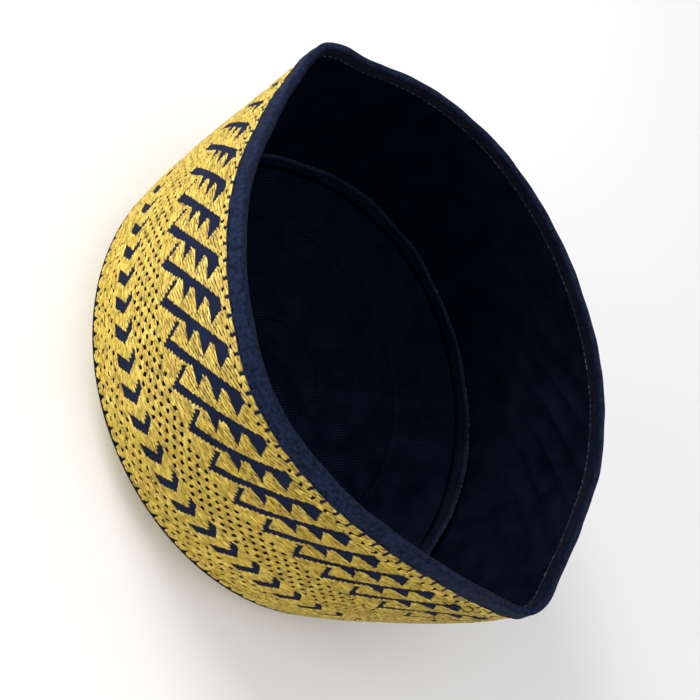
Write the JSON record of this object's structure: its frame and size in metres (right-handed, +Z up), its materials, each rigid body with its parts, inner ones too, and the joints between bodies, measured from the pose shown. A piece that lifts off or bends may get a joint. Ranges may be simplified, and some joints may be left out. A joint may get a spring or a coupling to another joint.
{
  "type": "kufi",
  "caption": "Brimless round cap with a stiff embroidered wall, a flat crown, a dark lining and a tape-bound rim with two fold points.",
  "frame": {"origin": "on the surface that the cap rests on, below the middle of its outline", "axes": "+Z up out of the mouth, X between the two fold points of the rim, Y across the mouth with the near side of the picture at -Y"},
  "size_m": [0.208, 0.1878, 0.0915],
  "materials": {
    "crown": "satin gold thread embroidered on navy cloth",
    "crown_lining": "matt ribbed navy lining cloth",
    "band": "satin gold thread embroidered on navy cloth",
    "band_lining": "matt navy twill lining cloth",
    "rim_binding": "matt navy bias tape",
    "crown_seam": "matt navy binding cloth"
  },
  "bodies": {
    "root": {"crown": "crown", "crown_lining": "crown_lining", "band": "band", "band_lining": "band_lining", "rim_binding": "rim_binding", "crown_seam": "crown_seam"}
  },
  "joints": []
}
